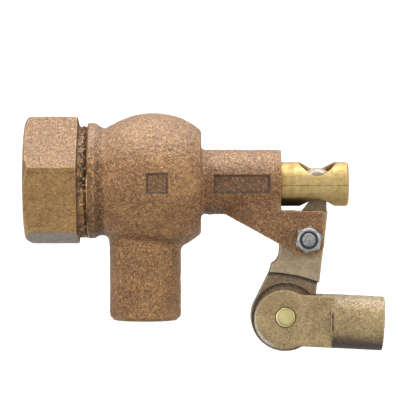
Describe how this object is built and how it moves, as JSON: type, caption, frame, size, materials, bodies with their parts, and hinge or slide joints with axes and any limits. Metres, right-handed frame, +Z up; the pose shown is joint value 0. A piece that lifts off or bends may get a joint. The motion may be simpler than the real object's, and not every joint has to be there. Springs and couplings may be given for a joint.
{
  "type": "float valve",
  "caption": "Lever-operated float valve with a screwed hex inlet, a globe body, a plain outlet spigot pointing down, a sliding plunger and an adjustable clevis arm for a float rod.",
  "frame": {"origin": "centre of the inlet face, on the axis of the inlet thread", "axes": "+X along the inlet, plunger and guide barrel, away from the supply pipe; +Z up; the outlet points along -Z"},
  "size_m": [0.1681, 0.0647, 0.1114],
  "materials": {
    "cast_bronze": "sand-cast, matt, granular",
    "machined_bronze": "cast hex with machined ends",
    "lever_bronze": "satin tumbled casting",
    "clevis_bronze": "satin casting",
    "plunger_brass": "turned, bright",
    "fastener_brass": "turned, bright",
    "seat_steel": "turned stainless steel",
    "plated_steel": "zinc plated",
    "nylon": "dark nylon",
    "rubber": "moulded, matt",
    "fibre": "pressed fibre"
  },
  "bodies": {
    "body": {"valve_body": "cast_bronze", "inlet_adapter": "machined_bronze", "adapter_gasket": "fibre", "seat_ring": "seat_steel", "seat_gasket": "fibre", "pivot_bolt": "plated_steel", "pivot_washer": "plated_steel", "lock_nut": "plated_steel", "lock_nut_insert": "nylon"},
    "plunger": {"plunger": "plunger_brass", "disc_holder": "fastener_brass", "seat_disc": "rubber", "disc_washer": "fastener_brass", "disc_screw": "fastener_brass", "plunger_o_rings": "rubber"},
    "lever": {"lever": "lever_bronze", "lever_bush": "fastener_brass"},
    "arm": {"clevis": "clevis_bronze", "clevis_bolt": "fastener_brass", "clevis_lock_washer": "plated_steel"}
  },
  "joints": [
    {"name": "lever_pivot", "type": "hinge", "parent": "body", "child": "lever", "pos_m": [0.1318, 0, -0.0267], "axis": [0, -1, 0], "range_deg": [0, 14]},
    {"name": "plunger_slide", "type": "slide", "parent": "body", "child": "plunger", "axis": [-1, 0, 0], "range_m": [0, 0.0064]},
    {"name": "arm_angle", "type": "hinge", "parent": "lever", "child": "arm", "pos_m": [0.1214, 0, -0.0629], "axis": [0, 1, 0], "range_deg": [0, 90]}
  ],
  "couplings": [
    {"joint": "plunger_slide", "follows": "lever_pivot", "m_per_rad": 0.026103}
  ]
}
